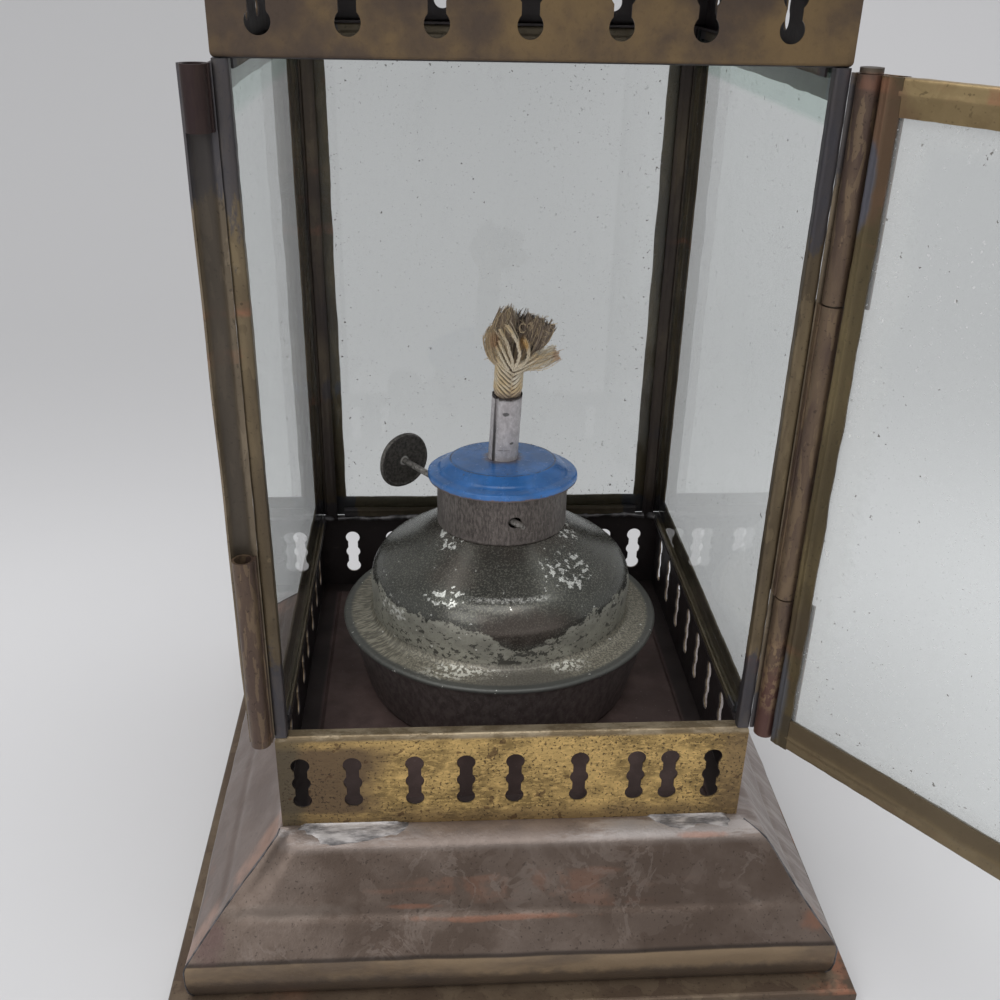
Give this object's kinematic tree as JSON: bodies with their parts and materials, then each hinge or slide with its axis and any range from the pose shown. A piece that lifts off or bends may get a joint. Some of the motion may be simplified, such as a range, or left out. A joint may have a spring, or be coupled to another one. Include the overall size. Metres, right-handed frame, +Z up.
{
  "type": "kerosene lantern",
  "caption": "Square glass lantern with pierced galleries, a swinging glass door, a hipped foot and roof, and a loose wick lamp inside.",
  "frame": {"origin": "middle of the underside of the square foot", "axes": "+Z up along the lantern's height, -Y towards the door side, +X towards the door's hinge side"},
  "size_m": [0.2871, 0.3175, 0.4204],
  "materials": {
    "foot_brass": "dark brown patina, worn edges",
    "skirt_brass": "dark brown patina with copper streaks",
    "floor_brass": "dull reddish brown",
    "front_band": "worn bright brass, dark specks",
    "gallery_brass": "dark patinated brass",
    "channel_brass": "olive brown brass, grey at the solder",
    "pane_glass": "clear, faintly green",
    "knuckle_brass": "brown brass",
    "pin_wire": "dark wire",
    "roof_brass": "dark brown patina",
    "ring_brass": "handled brass wire",
    "door_brass": "olive brass, grey at the solder",
    "lamp_tin": "dark tinplate with worn silvery flecks",
    "collar_tin": "grey brown tinplate, streaked",
    "cap_paint": "blue enamel paint, rust at the rim",
    "tube_tin": "light grey rolled tin",
    "wick_cotton": "braided cotton, charred tip",
    "wheel_steel": "dark steel"
  },
  "bodies": {
    "case": {"foot_plate": "foot_brass", "skirt_front": "skirt_brass", "skirt_right": "skirt_brass", "skirt_back": "skirt_brass", "skirt_left": "skirt_brass", "floor_plate": "floor_brass", "gallery_front": "front_band", "gallery_right": "gallery_brass", "gallery_back": "gallery_brass", "gallery_left": "gallery_brass", "left_front_stile": "channel_brass", "left_back_stile": "channel_brass", "left_bottom_rail": "channel_brass", "left_top_rail": "channel_brass", "left_glass": "pane_glass", "right_front_stile": "channel_brass", "right_back_stile": "channel_brass", "right_bottom_rail": "channel_brass", "right_top_rail": "channel_brass", "right_glass": "pane_glass", "back_left_stile": "channel_brass", "back_right_stile": "channel_brass", "back_bottom_rail": "channel_brass", "back_top_rail": "channel_brass", "back_glass": "pane_glass", "post_hinge_knuckle": "knuckle_brass", "post_catch_knuckles": "knuckle_brass", "hinge_pin": "pin_wire", "upper_front": "gallery_brass", "upper_right": "gallery_brass", "upper_back": "gallery_brass", "upper_left": "gallery_brass", "roof_front": "roof_brass", "roof_right": "roof_brass", "roof_back": "roof_brass", "roof_left": "roof_brass", "crown_plate": "roof_brass", "chimney": "gallery_brass", "smoke_cap": "roof_brass", "top_eye": "ring_brass"},
    "door": {"door_hinge_stile": "door_brass", "door_free_stile": "door_brass", "door_bottom_rail": "door_brass", "door_top_rail": "door_brass", "door_glass": "pane_glass", "door_hinge_knuckles": "knuckle_brass", "door_catch_knuckle": "knuckle_brass"},
    "ring": {"carrying_ring": "ring_brass"},
    "lamp": {"reservoir_cup": "lamp_tin", "reservoir_dome": "lamp_tin", "burner_neck": "collar_tin"},
    "burner": {"burner_collar": "collar_tin", "burner_cap": "cap_paint", "wick_tube": "tube_tin"},
    "wick": {"wick": "wick_cotton"},
    "wick_wheel": {"wick_shaft": "wheel_steel", "thumbwheel": "wheel_steel", "spur_wheel": "wheel_steel"}
  },
  "joints": [
    {"name": "door_swing", "type": "hinge", "parent": "case", "child": "door", "pos_m": [0.0785, -0.078, 0.0888], "axis": [0, 0, 1], "range_deg": [-127, 48]},
    {"name": "ring_swing", "type": "hinge", "parent": "case", "child": "ring", "pos_m": [0, 0, 0.4146], "axis": [1, 0, 0], "range_deg": [0, 256]},
    {"name": "lamp_lift", "type": "slide", "parent": "case", "child": "lamp", "axis": [0, 0, 1], "range_m": [0, 0.045]},
    {"name": "burner_turn", "type": "hinge", "parent": "lamp", "child": "burner", "pos_m": [0, 0.008, 0.122], "axis": [0, 0, 1], "range_deg": [0, 270]},
    {"name": "wick_turn", "type": "hinge", "parent": "burner", "child": "wick_wheel", "pos_m": [-0.00918, 0.00108, 0.131], "axis": [0.6018, -0.7986, 0], "range_deg": [-100, 84]},
    {"name": "wick_raise", "type": "slide", "parent": "burner", "child": "wick", "axis": [0, 0, 1], "range_m": [-0.012, 0.01]}
  ],
  "couplings": [
    {"joint": "wick_raise", "follows": "wick_turn", "m_per_rad": 0.0068}
  ]
}
